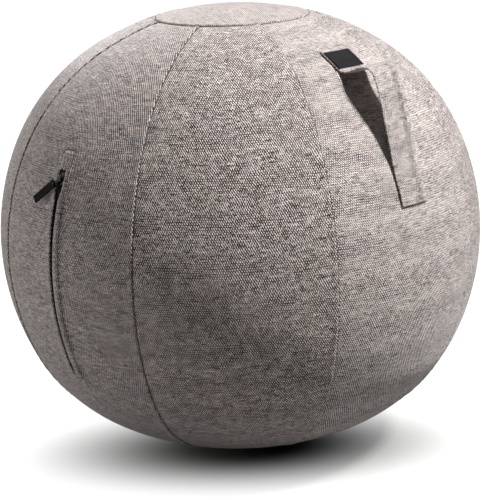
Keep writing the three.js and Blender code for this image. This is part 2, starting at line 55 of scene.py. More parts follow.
level = math.cos(camera_rise)
away = Vector((math.sin(camera_turn) * level, -math.cos(camera_turn) * level, math.sin(camera_rise)))
sideways = Vector((math.cos(camera_turn), math.sin(camera_turn), 0))
upwards = away.cross(sideways)
camera_right = sideways * math.cos(camera_roll) - upwards * math.sin(camera_roll)
camera_up = upwards * math.cos(camera_roll) + sideways * math.sin(camera_roll)
camera_data = bpy.data.cameras.new("camera")
camera_data.sensor_fit = "HORIZONTAL"
camera_data.sensor_width = sensor_width
camera_data.lens = focal_pixels / photo_width * sensor_width
camera_data.shift_x = (photo_width / 2 - middle_pixel[0]) / photo_width
camera_data.shift_y = (middle_pixel[1] - photo_height / 2) / photo_width
camera = bpy.data.objects.new("camera", camera_data)
turn = Matrix((camera_right, camera_up, away)).transposed().to_4x4()
camera.matrix_world = Matrix.Translation(ball_middle + away * camera_distance) @ turn
bpy.context.scene.collection.objects.link(camera)
bpy.context.scene.camera = camera
bpy.context.scene.view_settings.view_transform = "Standard"


# Shader sums
# Value wraps one output socket, so that a sum in Python adds its Math nodes. Paint is one material.
class Value:
    def __init__(self, paint, socket):
        self.paint = paint
        self.socket = socket

    def maths(self, operation, *values):
        return self.paint.node("ShaderNodeMath", {"operation": operation}, dict(enumerate(values)))

    def __add__(self, other):
        return self.maths("ADD", self, other)

    def __sub__(self, other):
        return self.maths("SUBTRACT", self, other)

    def __rsub__(self, other):
        return self.maths("SUBTRACT", other, self)

    def __mul__(self, other):
        return self.maths("MULTIPLY", self, other)

    def __truediv__(self, other):
        return self.maths("DIVIDE", self, other)

    def __pow__(self, other):
        return self.maths("POWER", self, other)

    def floor(self):
        return self.maths("FLOOR", self)

    def wave(self):
        """From 0 to 1 and back, once for each whole number."""
        return self.maths("COSINE", self * math.tau) * -0.5 + 0.5

    def step(self, low, high):
        """From 0 to 1 as this goes from low to high, with round ends."""
        settings = {"interpolation_type": "SMOOTHSTEP"}
        return self.paint.node("ShaderNodeMapRange", settings, {0: self, 1: low, 2: high})

    __radd__ = __add__
    __rmul__ = __mul__


class Paint:
    def __init__(self, name, **sockets):
        self.material = bpy.data.materials.new(name)
        self.material.use_nodes = True
        self.tree = self.material.node_tree
        self.surface = self.tree.nodes["Principled BSDF"]
        for socket, value in sockets.items():
            self.surface.inputs[socket.replace("_", " ")].default_value = value

    def plug(self, socket, value):
        if isinstance(value, Value):
            self.tree.links.new(value.socket, socket)
        else:
            socket.default_value = value

    def node(self, kind, settings, sockets, output=0):
        made = self.tree.nodes.new(kind)
        for name, value in settings.items():
            setattr(made, name, value)
        for name, value in sockets.items():
            self.plug(made.inputs[name], value)
        return Value(self, made.outputs[output])

    def cloth_place(self):
        """The place on the cloth as it was cut, across and along, in millimetres."""
        flat = self.node("ShaderNodeUVMap", {"uv_map": "cloth"}, {})
        return [self.node("ShaderNodeSeparateXYZ", {}, {0: flat}, side) * 1000 for side in (0, 1)]

    def place(self):
        """The place in the object's own space, in millimetres."""
        here = self.node("ShaderNodeTexCoord", {}, {}, "Object")
        return [self.node("ShaderNodeSeparateXYZ", {}, {0: here}, side) * 1000 for side in (0, 1, 2)]

    def noise(self, x, y, z=0.0, detail=2.0):
        here = self.node("ShaderNodeCombineXYZ", {}, {0: x, 1: y, 2: z})
        return self.node("ShaderNodeTexNoise", {}, {"Vector": here, "Scale": 1.0, "Detail": detail})

    def grain(self, size, detail=2.0):
        """Noise with the same size in millimetres along all three axes of the object."""
        x, y, z = self.place()
        return self.noise(x / size, y / size, z / size, detail)

    def mix(self, share, first, second):
        settings = {"data_type": "RGBA", "clamp_factor": True}
        return self.node("ShaderNodeMix", settings, {0: share, 6: first, 7: second}, 2)

    def dress(self, colour=None, roughness=None, height=None, depth=0.001):
        """Joins what changes over the surface. A height of 1 stands as far out as the depth."""
        if colour is not None:
            self.plug(self.surface.inputs["Base Color"], colour)
        if roughness is not None:
            self.plug(self.surface.inputs["Roughness"], roughness)
        if height is not None:
            normal = self.node("ShaderNodeBump", {}, {"Height": height, "Distance": depth})
            self.plug(self.surface.inputs["Normal"], normal)
        return self.material


# Floor and light
# A white floor under white surroundings, which the camera sees as plain white but for a shadow under the
# ball, painted into its glow, with a little real shadow on top.
# The floor also glows a little on the ball from further off, and the surroundings give no light.
# The key lamp is high on the right and small, so the handle throws a clear shadow. Wide lamps behind the
# ball brighten its rims, and the front has little light.
floor_reach = 12.0
shade_middle = 0.07
shade_width = 1.8
shade_start = 0.03
shade_end = 0.19
shade_curve = 1.4
glow_start = 0.5
glow_end = 1.2
glow_strength = 0.33
black, white = (0, 0, 0, 1), (1, 1, 1, 1)
floor_bounce, floor_white = (0.25, 0.25, 0.25, 1), (0.14, 0.14, 0.13, 1)

bpy.ops.mesh.primitive_plane_add(size=floor_reach * 2)
floor = bpy.context.object
floor.name = "floor"
floor_paint = Paint("white_floor", Roughness=0.8, Emission_Strength=1.0)
floor_seen = floor_paint.node("ShaderNodeLightPath", {}, {}, "Is Camera Ray")
floor_x, floor_y = (side / 1000 for side in floor_paint.place()[:2])
shade_across = (floor_x * sideways.x + floor_y * sideways.y) / shade_width
shade_ahead = floor_x * sideways.y - floor_y * sideways.x - shade_middle
from_shade = (shade_across * shade_across + shade_ahead * shade_ahead) ** 0.5
from_ball = (floor_x * floor_x + floor_y * floor_y) ** 0.5
# Painted shadow: the glow that the camera sees fades to dark in a soft oval under the ball.
painted_shadow_glow = floor_paint.mix(from_shade.step(shade_start, shade_end) ** shade_curve, black, white)
lit_glow = floor_paint.mix(from_ball.step(glow_start, glow_end) * glow_strength, black, white)
glow = floor_paint.mix(floor_seen, lit_glow, painted_shadow_glow)
floor_paint.plug(floor_paint.surface.inputs["Emission Color"], glow)
floor_paint.dress(floor_paint.mix(floor_seen, floor_bounce, floor_white))
floor.data.materials.append(floor_paint.material)

world = bpy.data.worlds.new("surroundings")
world.use_nodes = True
bpy.context.scene.world = world
sky = world.node_tree.nodes["Background"]
path = world.node_tree.nodes.new("ShaderNodeLightPath")
world.node_tree.links.new(path.outputs["Is Camera Ray"], sky.inputs["Strength"])
sky.inputs["Color"].default_value = white

# Each lamp's name, degrees to the right of the camera, degrees above the level, size in metres and power.
lamp_distance = 3.0
lamps = [
    ("key_lamp", 71, 51, 0.4, 136),
    ("back_lamp", 180, 45, 1.5, 68),
    ("left_lamp", 270, 15, 1.5, 31),
    ("left_rim_lamp", 238, 8, 1.2, 21),
]


def hang_lamp(name, from_camera, rise, size, power):
    """A square lamp that faces the ball."""
    side = camera_turn + math.radians(from_camera)
    up = math.radians(rise)
    direction = Vector((math.sin(side) * math.cos(up), -math.cos(side) * math.cos(up), math.sin(up)))
    data = bpy.data.lights.new(name, "AREA")
    data.size = size
    data.energy = power
    lamp = bpy.data.objects.new(name, data)
    lamp.location = ball_middle + direction * lamp_distance
    lamp.rotation_euler = direction.to_track_quat("Z", "Y").to_euler()
    lamp.visible_camera = False
    bpy.context.scene.collection.objects.link(lamp)


for lamp_row in lamps:
    hang_lamp(*lamp_row)


# Outline of the ball
# A belt, a shoulder above and below it, and a flatter arc at each end, all tangent to each other.
ball_radius = 0.325
crown_height = 0.305
base_depth = 0.291
belt_angle = math.radians(25)
upper_shoulder_radius = 0.270
lower_shoulder_radius = 0.233
top_disc_radius = 0.1025
base_radius = 0.080
ring_gap = 0.0003


def half_outline(height, shoulder_radius):
    """The arcs from the belt to one end, with each arc's middle and radius, and where the shoulder ends."""
    inset = ball_radius - shoulder_radius
    across, up = inset * math.cos(belt_angle), inset * math.sin(belt_angle)
    rise = (height - up - shoulder_radius) / across
    shoulder_end = math.pi / 2 - 2 * math.atan(rise)
    end_radius = shoulder_radius + across / math.cos(shoulder_end)
    return {
        "across": across, "up": up, "radius": shoulder_radius,
        "shoulder_end": shoulder_end, "end_radius": end_radius, "end_up": height - end_radius,
    }


upper = half_outline(crown_height, upper_shoulder_radius)
lower = half_outline(base_depth, lower_shoulder_radius)


def outline(angle, out=0.0):
    """Distance from the axis and height above the floor, where the outward normal rises by that angle."""
    angle = np.asarray(angle, float)
    up = np.abs(angle)
    below = angle < 0

    def pick(name):
        return np.where(below, lower[name], upper[name])

    on_belt = up <= belt_angle
    on_shoulder = up <= pick("shoulder_end")
    centre_r = np.where(on_belt, 0, np.where(on_shoulder, pick("across"), 0))
    centre_z = np.where(on_belt, 0, np.where(on_shoulder, pick("up"), pick("end_up")))
    radius = np.where(on_belt, ball_radius, np.where(on_shoulder, pick("radius"), pick("end_radius")))
    r = centre_r + (radius + out) * np.cos(up)
    z = centre_z + (radius + out) * np.sin(up)
    return r, base_depth + np.where(below, -1, 1) * z


shoulder_ends = (-lower["shoulder_end"], upper["shoulder_end"])
bend_angles = [-math.pi / 2, shoulder_ends[0], -belt_angle, belt_angle, shoulder_ends[1], math.pi / 2]
bend_radii = [lower["end_radius"], lower["radius"], ball_radius, upper["radius"], upper["end_radius"]]
bend_lengths = np.concatenate([[0], np.cumsum(np.diff(bend_angles) * bend_radii)])
bend_lengths -= np.interp(0, bend_angles, bend_lengths)


def length_at(angle):
    """The length along the outline from the belt's middle up to an angle."""
    return np.interp(angle, bend_angles, bend_lengths)


def angle_at(length):
    return np.interp(length, bend_lengths, bend_angles)


def on_ball(turn, angle, out=0.0):
    """The place on the ball at a turn from the zip and a rise of the normal, moved outwards."""
    r, z = outline(angle, out)
    return np.stack([r * np.sin(turn), -r * np.cos(turn), z], axis=-1)


def outward_at(turn, angle):
    level, rise = np.cos(angle), np.sin(angle) * np.ones_like(turn)
    return np.stack([level * np.sin(turn), -level * np.cos(turn), rise], axis=-1)


crown_length = float(length_at(math.pi / 2))
disc_angle = math.acos(top_disc_radius / upper["end_radius"])
base_angle = -math.acos(base_radius / lower["end_radius"])
panel_low = float(length_at(base_angle)) + ring_gap / 2
panel_high = float(length_at(disc_angle)) - ring_gap / 2


# Mesh helpers
def corners(piece):
    places = np.empty(len(piece.data.vertices) * 3)
    piece.data.vertices.foreach_get("co", places)
    return places.reshape(-1, 3)


def set_corners(piece, places):
    piece.data.vertices.foreach_set("co", np.ascontiguousarray(places, float).ravel())
    piece.data.update()


def mark_cloth(piece, shift=(0.0, 0.0)):
    """Keeps each corner's place on the flat cloth as the piece's UV map, in metres."""
    while piece.data.uv_layers:
        piece.data.uv_layers.remove(piece.data.uv_layers[0])
    layer = piece.data.uv_layers.new(name="cloth")
    loops = np.empty(len(piece.data.loops), int)
    piece.data.loops.foreach_get("vertex_index", loops)
    layer.data.foreach_set("uv", (corners(piece)[loops, :2] + shift).ravel())


def flat_grid(name, columns, rows):
    """A flat square from -1 to 1, in rows and columns, alone and selected."""
    bpy.ops.object.select_all(action="DESELECT")
    bpy.ops.mesh.primitive_grid_add(x_subdivisions=columns, y_subdivisions=rows, size=2)
    piece = bpy.context.object
    piece.name = name
    piece.data.name = name
    return piece


def flat_strip(name, columns, rows, left, right, low, high):
    """A flat grid from the left edge, given as its distance from the middle, to the right one."""
    piece = flat_grid(name, columns, rows)
    flat = corners(piece)
    flat[:, 0] = (flat[:, 0] + 1) / 2 * (left + right) - left
    flat[:, 1] = low + (flat[:, 1] + 1) / 2 * (high - low)
    set_corners(piece, flat)
    return piece


def apply(piece, modifier):
    bpy.context.view_layer.objects.active = piece
    bpy.ops.object.modifier_apply(modifier=modifier.name)


def thicken(piece, thickness, offset=-1.0):
    solid = piece.modifiers.new("thickness", "SOLIDIFY")
    solid.thickness = thickness
    solid.offset = offset
    solid.use_even_offset = False
    apply(piece, solid)


def round_edges(piece, width, segments):
    bevel = piece.modifiers.new("edges", "BEVEL")
    bevel.width = width
    bevel.segments = segments
    bevel.limit_method = "ANGLE"
    apply(piece, bevel)


def new_mesh(name, places, faces):
    mesh = bpy.data.meshes.new(name)
    mesh.from_pydata(places.tolist(), [], faces)
    piece = bpy.data.objects.new(name, mesh)
    bpy.context.scene.collection.objects.link(piece)
    return piece


def finish_piece(piece, paint, slot, *nodes):
    """Every new piece rides on the ball, because only the slider and its pull move."""
    piece.data.materials.clear()
    piece.data.materials.append(paint)
    for face in piece.data.polygons:
        face.use_smooth = True
    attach(piece, "ball")
    if nodes:
        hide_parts(*nodes)


def round_step(value):
    """From 0 to 1 as the value does, with round ends."""
    value = np.clip(value, 0, 1)
    return value * value * (3 - 2 * value)


def bell(distance, reach):
    """1 at no distance, falling away smoothly over the reach."""
    return np.exp(-((distance / reach) ** 2))


def table_at(table, places):
    """Looks places up in a table of pairs, on straight lines between its rows."""
    return np.interp(places, [at for at, _ in table], [size for _, size in table])


def on_line(spots, travel, places):
    """The places at some distances along a line, from its corners and their distances along it."""
    return np.stack([np.interp(spots, travel, column) for column in places.T], axis=1)


def travel_along(places):
    return np.concatenate([[0], np.cumsum(np.linalg.norm(np.diff(places, axis=0), axis=1))])


def unit(directions):
    return directions / np.linalg.norm(directions, axis=1, keepdims=True)


# Heather twill
# Pale and dark yarns. Two sets of fine diagonals, steep ones down to the right and steeper ones down to the
# left, cross in a lattice of dots. The weft rows change their shade in streaks, and the pale yarn is hairy,
# so it shines softly where it is seen at a low angle. Sizes are in millimetres.
dot_pitch = 2.9
steep_rise = 4.9
steeper_rise = 8.2
yarn_pitch = 2.05
yarn_depth = 0.0006
weft_change = 3.7
speck_size = (1.9, 1.7)
short_streak_size = 4
long_streak_size = 12
slub_size = (40, 9)
along_wander_size, along_wander = (34, 27), 5
across_wander_size, across_wander = (31, 29), 4
steep_weight, steeper_weight = 1.1, 0.7
speck_weight, short_weight, long_weight, slub_weight = 1.8, 1.6, 1.6, 0.4
dark_band_reach = 6.5
dark_band_depth = 0.34
pale_yarn = (0.90, 0.79, 0.75, 1)
# A less pale yarn, taken in a larger share, for the paler settings on the lit side: part of their painted
# light.
lit_side_pale_yarn = (0.78, 0.69, 0.655, 1)
dark_yarn = (0.022, 0.014, 0.012, 1)
yarn_sheen = (1.0, 0.97, 0.96, 1)


def twill(name, pale_share=0.2, contrast=1.3, rows=0.3, pale=pale_yarn, dark_band_line=None):
    """A setting of the twill. It is darker along a band, if a line for it is given."""
    paint = Paint(name, Roughness=0.92, Sheen_Weight=0.35, Sheen_Roughness=0.45, Specular_IOR_Level=0.25)
    paint.surface.inputs["Sheen Tint"].default_value = yarn_sheen
    across, along = paint.cloth_place()
    straight_across = across

    def patches(size, layer, detail=2.0):
        return paint.noise(across / size[0], along / size[1], layer, detail)

    along = along + patches(along_wander_size, 21.0) * along_wander
    across = across + patches(across_wander_size, 33.0) * across_wander
    steep = (across / dot_pitch + along / steep_rise).wave()
    steeper = (across / dot_pitch - along / steeper_rise).wave()
    row = (along / dot_pitch).wave()
    weft = (along / yarn_pitch).floor() * weft_change
    speck = patches(speck_size, 14.0)
    short_streak = paint.noise(across / short_streak_size, weft, 9.0)
    long_streak = paint.noise(across / long_streak_size, weft, 3.0)
    slub = patches(slub_size, 5.0, 3.0)
    lattice = steep * steep_weight + steeper * steeper_weight + row * rows
    heather = speck * speck_weight + short_streak * short_weight
    heather = heather + long_streak * long_weight + slub * slub_weight
    weights = (steep_weight, steeper_weight, rows, speck_weight, short_weight, long_weight, slub_weight)
    share = (lattice + heather - sum(weights) / 2) * contrast + pale_share
    if dark_band_line is not None:
        off_line = (straight_across - dark_band_line) / dark_band_reach
        in_dark_band = 1 - (off_line * off_line).step(0.0, 1.0)
        share = share - in_dark_band * dark_band_depth
    height = steep * 0.5 + speck * 0.5
    return paint.dress(paint.mix(share, dark_yarn, pale), height=height, depth=yarn_depth)


# Cover panels
# Eight gores of the twill, cut flat and sewn round the ball. Each is a flat grid in the size that it is
# cut, laid round the ball. At each seam one gore's right edge is folded under and lies over its neighbour's
# left edge, which is drawn in beneath it, and the stitches pucker the cloth on both sides. Their ends are
# tucked in under the top panel and over the base.
panel_count = 8
panel_turn = math.tau / panel_count
cloth_thickness = 0.0012
seam_gap = 0.0008
lap_depth = 0.0011
lap_reach = 0.0017
lap_roundness = 0.98
lap_height = 0.0009
ridge_place = 0.003
ridge_reach = 0.0035
tuck_depth = 0.0008
tuck_reach = 0.004
pucker_height = 0.0003
pucker_pitch = 0.0021
pucker_drift = 2.2
pucker_drift_pitch = 0.0113
pucker_reach = 0.011
pucker_start = 0.003
sag_height = 0.0006
sag_waves = [(7, 0, 3, 1), (0, 6, -8, 2), (11, -9, 4, 0)]
gore_columns, gore_rows = 60, 200
gore_shift = (0.7, 0.31)


def pucker(distance, along, phase):
    """The small ripples that a row of stitches draws into the cloth beside it."""
    drift = pucker_drift * np.sin(along / pucker_drift_pitch + phase * 2)
    ripple = np.sin(along / pucker_pitch + phase + drift)
    return pucker_height * ripple * bell(distance, pucker_reach) * round_step(distance / pucker_start)


def lapped_edge(distance):
    """The edge that lies over its neighbour: folded under, so it is thick and round."""
    roll = np.clip(1 - distance / lap_reach, 0, 1)
    rolled = -lap_depth * (1 - np.sqrt(1 - roll**2 * lap_roundness))
    return rolled + lap_height * bell(distance - ridge_place, ridge_reach)


def tucked_edge(distance):
    """The edge that goes in under its neighbour."""
    return -tuck_depth * np.exp(-distance / tuck_reach)


def sag(turn, angle):
    """The cloth's slow unevenness all round the ball, kept inwards."""
    x, y = np.sin(turn) * np.cos(angle), np.cos(turn) * np.cos(angle)
    z = np.sin(angle)
    waves = sum(np.sin(a * x + b * y + c * z + phase) for a, b, c, phase in sag_waves)
    return sag_height * (waves / len(sag_waves) - 1) / 2


def gore_lift(across, along, angle, turn, half_width, index):
    """How far each place of a gore stands out from the ball's outline."""
    seam_phase, top_phase, bottom_phase = 1.9, 5.0, 8.0
    left = across + half_width
    right = half_width - across
    top = np.maximum(panel_high - along, 0)
    bottom = np.maximum(along - panel_low, 0)
    side = np.minimum(left, right)
    seam = np.where(left < right, index, index + 1) % panel_count
    lift = lapped_edge(right) + tucked_edge(left) + tucked_edge(top) + tucked_edge(bottom)
    lift += pucker(side, along, seam * seam_phase)
    lift += pucker(top, across, top_phase) + pucker(bottom, across, bottom_phase)
    return lift + sag(turn, angle)


def lay_flat(name, columns=gore_columns, rows=gore_rows):
    """A gore as it is cut: its width follows the ball's girth at each height."""
    piece = flat_grid(name, columns, rows)
    flat = corners(piece)
    along = panel_low + (flat[:, 1] + 1) / 2 * (panel_high - panel_low)
    crowd = np.sign(flat[:, 0]) * (1 - (1 - np.abs(flat[:, 0])) ** 2)
    half_width = outline(angle_at(along))[0] * panel_turn / 2 - seam_gap / 2
    flat[:, 0] = crowd * half_width
    flat[:, 1] = along
    set_corners(piece, flat)
    return piece


def lay_round(piece, index, extra=None):
    """Moves a flat gore onto the ball, at its turn round the axis."""
    flat = corners(piece)
    across, along = flat[:, 0], flat[:, 1]
    angle = angle_at(along)
    girth = outline(angle)[0]
    half_width = girth * panel_turn / 2 - seam_gap / 2
    turn = index * panel_turn + across / girth
    lift = gore_lift(across, along, angle, turn, half_width, index)
    if extra is not None:
        lift = extra(across, along, lift)
    set_corners(piece, on_ball(turn, angle, lift))


# The panels that the light meets differently are painted paler, each with a setting of its own by its place
# round the ball: painted light, standing in for how the light falls on them.
painted_light_looks = {0: (0.30, 0.64), 2: (0.47, 1.5, 0.6, lit_side_pale_yarn), 7: (0.31, 0.6)}
cover_paint = twill("heather_twill")
painted_light_paints = {index: twill(f"heather_twill_{index}", *looks) for index, looks in painted_light_looks.items()}
panel_names = {
    1: "front_right_panel", 2: "handle_panel", 3: "back_right_panel", 4: "back_panel",
    5: "back_left_panel", 6: "left_panel", 7: "front_left_panel",
}
for index, node in panel_names.items():
    gore = lay_flat(f"{node}_cloth")
    mark_cloth(gore, (index * gore_shift[0], index * gore_shift[1]))
    lay_round(gore, index)
    thicken(gore, cloth_thickness)
    finish_piece(gore, painted_light_paints.get(index, cover_paint), "cover_fabric", node)


# Top panel
# A round of the same twill that closes the top of the cover, sewn to the narrow ends of the gores.
disc_columns = 72
disc_shift = (7.1, 3.3)
disc_phase = 3.0


def round_off(flat):
    """Moves a square grid's corners so that its rows become rings, with the size from 0 to 1."""
    x, y = flat[:, 0], flat[:, 1]
    size = np.maximum(np.abs(x), np.abs(y))
    steep = np.abs(y) > np.abs(x)
    with np.errstate(divide="ignore", invalid="ignore"):
        angle = np.where(steep, math.pi / 2 - math.pi / 4 * x / y, math.pi / 4 * y / x)
    angle = np.where(size == 0, 0, angle) + np.where(np.where(steep, y, x) < 0, math.pi, 0)
    return size * np.cos(angle), size * np.sin(angle)


disc = flat_grid("top_panel_cloth", disc_columns, disc_columns)
disc_flat = corners(disc)
disc_size = float(crown_length - length_at(disc_angle)) - ring_gap / 2
disc_x, disc_y = round_off(disc_flat)
disc_flat[:, 0], disc_flat[:, 1] = disc_x * disc_size, disc_y * disc_size
set_corners(disc, disc_flat)
mark_cloth(disc, disc_shift)
disc_reach = np.hypot(disc_x, disc_y) * disc_size
disc_turn = np.arctan2(disc_x, -disc_y)
disc_rise = angle_at(crown_length - disc_reach)
disc_edge = disc_size - disc_reach
disc_lift = lapped_edge(disc_edge) + pucker(disc_edge, disc_turn * disc_size, disc_phase)
set_corners(disc, on_ball(disc_turn, disc_rise, disc_lift + sag(disc_turn, disc_rise)))
thicken(disc, cloth_thickness)
# Painted light: the top's setting is paler and its weave fainter, for the strong light and soft shine that
# it catches from above.
finish_piece(disc, twill("heather_twill_top", 0.38, 0.4), "cover_fabric", "top_panel")


# Zip panel
# The gore with the zip. Its cloth is slit and turned back along the zip: the right edge lies flat under
# two rows of stitches, and the left edge rolls over the chain. The slit is wider where the slider parks.
# One row of stitches goes on over the top as a long box with round corners, and the cloth dips under it.
zip_top = math.radians(24.4) * ball_radius
zip_bottom = math.radians(-23.8) * ball_radius
zip_columns, zip_rows = 72, 240
slit_half = 0.0025
slit_fade = 0.004
slit_inside_share = 0.98
placket_reach = 0.015
placket_beyond = 0.003
placket_fade = 0.006
park_length = 0.024
stitch_right = 0.0122
stitch_left = 0.0095
stitch_top = zip_top + 0.0265
stitch_bottom = zip_bottom - 0.006
corner_reach = 0.005
flap_height = 0.0017
flap_past_stitches = 0.0022
flap_fade = 0.0024
roll_height = 0.0019
roll_fade = 0.012
roll_dip = 0.0004
roll_dip_reach = 0.0022
dent_depth = 0.0004
dent_reach = 0.0009
dent_fade = 0.004

# Half the opening's width to the left and to the right, by the share of the zip's length from its foot.
left_edge_shares = [
    (0, 0.001), (0.045, 0.0018), (0.3, 0.002), (0.5, 0.0025), (0.86, 0.0034), (0.905, 0.0066), (1, 0.0064),
]
right_edge_shares = [
    (0, 0.001), (0.045, 0.0018), (0.3, 0.002), (0.5, 0.0024), (0.86, 0.0032), (0.905, 0.0062), (1, 0.006),
]

# Extra cuts beside the rows of stitches, from the zip's middle and from the top row.
left_cuts = (-0.012, -0.0108, -0.0101, -0.0095, -0.0089, -0.0082, -0.0055)
right_cuts = (0.0055, 0.0085, 0.0108, 0.0116, 0.0122, 0.0128, 0.0136)
top_cuts = (-0.0014, -0.0007, 0, 0.0008)


def edge_at(shares, along):
    return table_at(shares, (along - zip_bottom) / (zip_top - zip_bottom))


def cut(piece, place, direction):
    """Cuts the whole flat cloth along a line."""
    bpy.context.view_layer.objects.active = piece
    bpy.ops.object.mode_set(mode="EDIT")
    bpy.ops.mesh.select_all(action="SELECT")
    bpy.ops.mesh.bisect(plane_co=place, plane_no=direction)
    bpy.ops.object.mode_set(mode="OBJECT")


def take_out(piece, chosen):
    """Deletes the faces whose middle is chosen."""
    bpy.context.view_layer.objects.active = piece
    for part in (piece.data.vertices, piece.data.edges):
        for item in part:
            item.select = False
    for face in piece.data.polygons:
        face.select = bool(chosen(face.center))
    bpy.ops.object.mode_set(mode="EDIT")
    bpy.ops.mesh.select_mode(type="FACE")
    bpy.ops.mesh.delete(type="FACE")
    bpy.ops.object.mode_set(mode="OBJECT")


def in_slit(middle):
    return abs(middle.x) < slit_half and zip_bottom < middle.y < zip_top


def turn_back(piece):
    """Draws the slit's edges back to their distances from the middle."""
    flat = corners(piece)
    across, along = flat[:, 0].copy(), flat[:, 1]
    reach = np.abs(across)
    side = np.where(across < 0, -1, 1)
    edge = np.where(side < 0, edge_at(left_edge_shares, along), edge_at(right_edge_shares, along))
    off_edge = (reach - slit_half) / (placket_reach - slit_half)
    opened = side * (edge + off_edge * (placket_reach - edge))
    above_foot = round_step((along - zip_bottom + slit_fade) / slit_fade)
    below_head = round_step((zip_top + slit_fade - along) / slit_fade)
    moved = (reach < placket_reach) & (reach > slit_half * slit_inside_share)
    flat[:, 0] += np.where(moved, (opened - across) * above_foot * below_head, 0)
    set_corners(piece, flat)


def off_hood(across, along):
    """The distance from the stitched outline round the zip."""
    middle = (stitch_right - stitch_left) / 2
    half = (stitch_right + stitch_left) / 2
    beyond = np.abs(across - middle) - half + corner_reach
    above = along - stitch_top + corner_reach
    outside = np.hypot(np.maximum(beyond, 0), np.maximum(above, 0)) - corner_reach
    return outside + np.minimum(np.maximum(beyond, above), 0)


def placket_lift(across, along, lift):
    """The cloth over the zip stands out: flat and stitched on the right, rolled on the left."""
    above_foot = round_step((along - stitch_bottom) / placket_fade)
    ends = above_foot * round_step((stitch_top - along) / placket_fade)
    right = flap_height * round_step((stitch_right + flap_past_stitches - across) / flap_fade)
    left_sewn = round_step((along - zip_top + park_length / 2) / dent_fade)
    dent = dent_depth * bell(off_hood(across, along), dent_reach) * np.where(across > 0, 1, left_sewn)
    left = roll_height * round_step((placket_reach + across) / roll_fade)
    off_edge = -across - edge_at(left_edge_shares, along)
    rolled = left - roll_dip * (1 - round_step(off_edge / roll_dip_reach))
    beside = (along > zip_bottom) & (along < zip_top)
    over = np.where(across > 0, right, np.where(beside, np.maximum(rolled, 0), left))
    near = np.abs(across) < placket_reach + placket_beyond
    return np.where(near, lift * (1 - ends) + over * ends - dent, lift)


zip_gore = lay_flat("zip_panel_cloth", zip_columns, zip_rows)
for offset in (*left_cuts, -slit_half, slit_half, *right_cuts):
    cut(zip_gore, (offset, 0, 0), (1, 0, 0))
for height in (zip_bottom, zip_top, *(stitch_top + step for step in top_cuts)):
    cut(zip_gore, (0, height, 0), (0, 1, 0))
take_out(zip_gore, in_slit)
mark_cloth(zip_gore)
turn_back(zip_gore)
lay_round(zip_gore, 0, placket_lift)
thicken(zip_gore, cloth_thickness)
finish_piece(zip_gore, painted_light_paints[0], "cover_fabric", "zip_panel")


# Stitches
# Dark thread, one short loop after another, in the seam of the top panel and round the zip. The row over
# the top of the zip is of a heavier thread, painted darker: painted shade, for the groove that the stitches
# sink into.
thread_radius = 0.00032
stitch_length = 0.0027
stitch_pitch = 0.0033
zip_stitch_length = 0.0032
zip_thread_radius = 0.0005
hood_thread_radius = 0.0009
inner_row_in = 0.0026
bead_segments, bead_rings = 6, 4
ring_steps = 241
corner_steps = 8
outer_row_steps, inner_row_steps = 40, 60
hook_down_share = 0.35
thread_grain = 1 / 3
brown, pale_brown = (0.022, 0.011, 0.009, 1), (0.07, 0.042, 0.036, 1)
dark_brown, soft_brown = (0.006, 0.004, 0.003, 1), (0.02, 0.013, 0.011, 1)


def thread(name, dark, pale):
    paint = Paint(name, Roughness=0.75, Sheen_Weight=0.2)
    fuzz = paint.grain(thread_grain)
    return paint.dress(paint.mix(fuzz, dark, pale), height=fuzz, depth=0.0001)


thread_paint = thread("brown_thread", brown, pale_brown)
# Painted shade: this thread is darker than the real one, for the shade of the groove beside the stitches.
painted_shade_thread_paint = thread("brown_thread_painted_shade", dark_brown, soft_brown)


def sew(name, places, outward, paint=thread_paint, length=stitch_length, radius=thread_radius):
    """A row of stitches along a line of places, each a short round bead of thread laid on the cloth."""
    bpy.ops.object.select_all(action="DESELECT")
    bpy.ops.mesh.primitive_uv_sphere_add(segments=bead_segments, ring_count=bead_rings, radius=1)
    stitch = bpy.context.object
    bead = corners(stitch) * (radius, radius, length / 2)
    faces = [list(face.vertices) for face in stitch.data.polygons]
    bpy.data.objects.remove(stitch)
    travel = travel_along(places)
    spots = np.arange(stitch_pitch / 2, travel[-1], stitch_pitch)
    middle = on_line(spots, travel, places)
    ahead = on_line(spots + stitch_pitch / 4, travel, places)
    behind = on_line(spots - stitch_pitch / 4, travel, places)
    run = unit(ahead - behind)
    beside = unit(np.cross(on_line(spots, travel, outward), run))
    raised = np.cross(run, beside)
    all_places = []
    all_faces = []
    for k in range(len(spots)):
        axes = np.stack([beside[k], raised[k], run[k]])
        all_faces += [[corner + len(bead) * k for corner in face] for face in faces]
        all_places.append(middle[k] + bead @ axes)
    row = new_mesh(name, np.concatenate(all_places), all_faces)
    finish_piece(row, paint, "seam_tape")


def quarter(middle, start):
    """Places round a quarter of a corner's circle, clockwise from an angle."""
    turns = [start - math.pi / 2 * k / corner_steps for k in range(corner_steps + 1)]
    return [
        (middle[0] + corner_reach * math.cos(turn), middle[1] + corner_reach * math.sin(turn))
        for turn in turns
    ]


def on_placket(flat):
    """Places and outward directions on the zip's panel, for a flat line on its cloth."""
    flat = np.array(flat)
    angle = angle_at(flat[:, 1])
    turn = flat[:, 0] / outline(angle)[0]
    lift = placket_lift(flat[:, 0], flat[:, 1], np.zeros(len(flat)))
    return on_ball(turn, angle, lift), outward_at(turn, angle)


ring_turn = np.linspace(0, math.tau, ring_steps)
ring_angle = np.full_like(ring_turn, disc_angle)
sew("top_seam_stitches", on_ball(ring_turn, ring_angle, -tuck_depth), outward_at(ring_turn, ring_angle))

